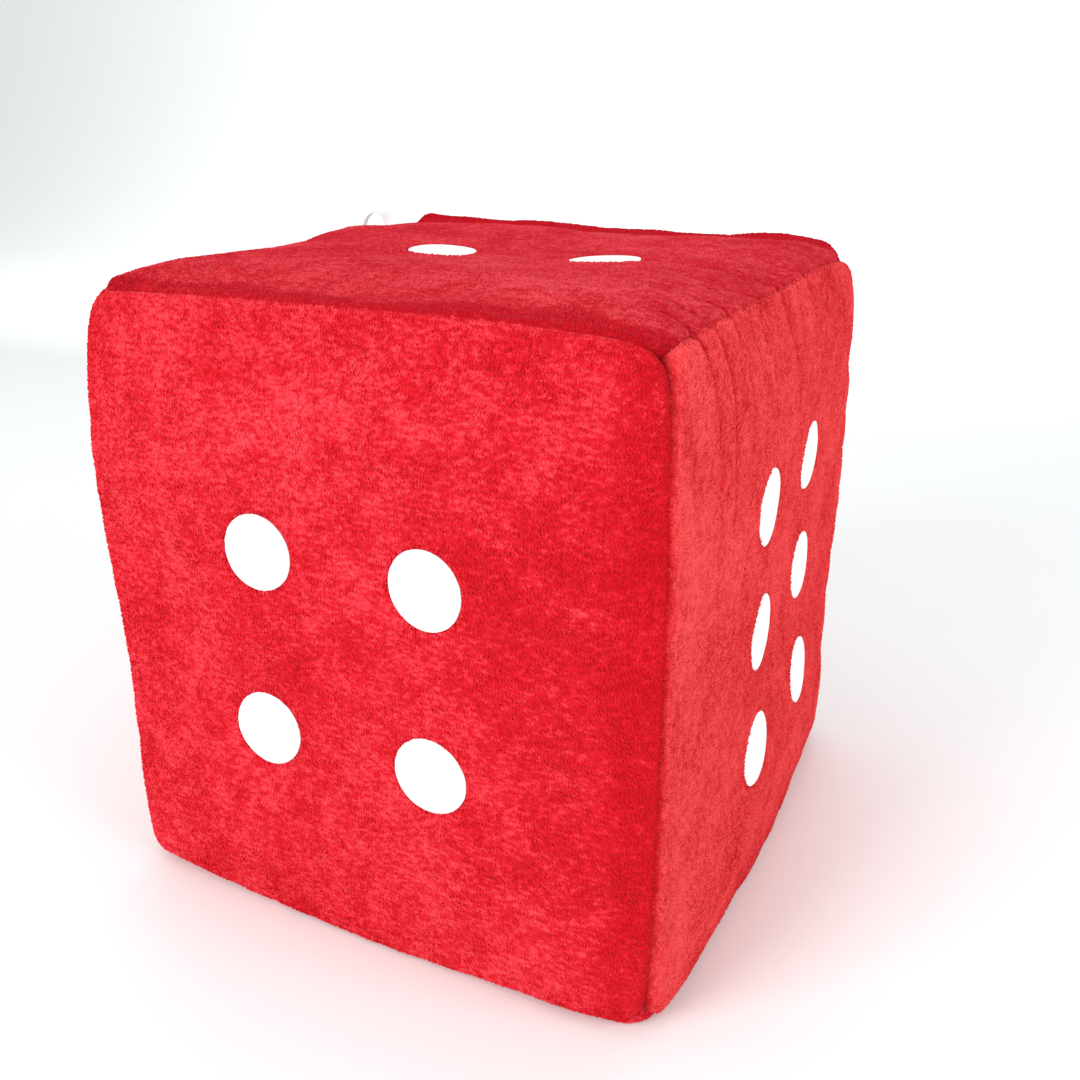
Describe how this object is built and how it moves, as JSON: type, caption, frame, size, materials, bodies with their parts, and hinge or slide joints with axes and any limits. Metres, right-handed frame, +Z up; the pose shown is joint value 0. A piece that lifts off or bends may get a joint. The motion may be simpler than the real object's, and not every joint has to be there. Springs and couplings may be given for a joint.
{
  "type": "soft plush dice",
  "caption": "Large soft cube dice: foam block in a sewn red plush cover with smooth white pips and a ribbon hang loop at one top corner.",
  "frame": {"origin": "middle of the flat part of the bottom face that the dice rests on", "axes": "+Z up, +X to the right and +Y to the back, seen from the face with the four; the six is on +X and the two on top"},
  "size_m": [0.2414, 0.224, 0.2333],
  "materials": {
    "plush": "short-pile crushed plush, soft sheen",
    "pip_film": "smooth matt white, flat",
    "thread": "red sewing thread",
    "ribbon": "narrow white satin ribbon",
    "foam": "open-cell upholstery foam"
  },
  "bodies": {
    "dice": {"foam_core": "foam", "front_panel": "plush", "right_panel": "plush", "back_panel": "plush", "left_panel": "plush", "top_panel": "plush", "bottom_panel": "plush", "pip_front_1": "pip_film", "pip_front_2": "pip_film", "pip_front_3": "pip_film", "pip_front_4": "pip_film", "pip_right_1": "pip_film", "pip_right_2": "pip_film", "pip_right_3": "pip_film", "pip_right_4": "pip_film", "pip_right_5": "pip_film", "pip_right_6": "pip_film", "pip_back_1": "pip_film", "pip_back_2": "pip_film", "pip_back_3": "pip_film", "pip_left_1": "pip_film", "pip_top_1": "pip_film", "pip_top_2": "pip_film", "pip_bottom_1": "pip_film", "pip_bottom_2": "pip_film", "pip_bottom_3": "pip_film", "pip_bottom_4": "pip_film", "pip_bottom_5": "pip_film", "seam_front_top": "thread", "seam_top_right": "thread", "seam_back_top": "thread", "seam_top_left": "thread", "seam_front_right": "thread", "seam_front_left": "thread", "seam_back_left": "thread", "seam_back_right": "thread", "seam_front_bottom": "thread", "seam_bottom_right": "thread", "seam_back_bottom": "thread", "seam_bottom_left": "thread", "closing_stitches": "thread", "hang_loop_tails": "ribbon"},
    "ribbon_loop": {"hang_loop": "ribbon"}
  },
  "joints": [
    {"name": "loop_fold", "type": "hinge", "parent": "dice", "child": "ribbon_loop", "pos_m": [-0.10576, 0.094, 0.22476], "axis": [0, 1, 0], "range_deg": [-30, 130], "stiffness_Nm_per_rad": 0.002}
  ]
}
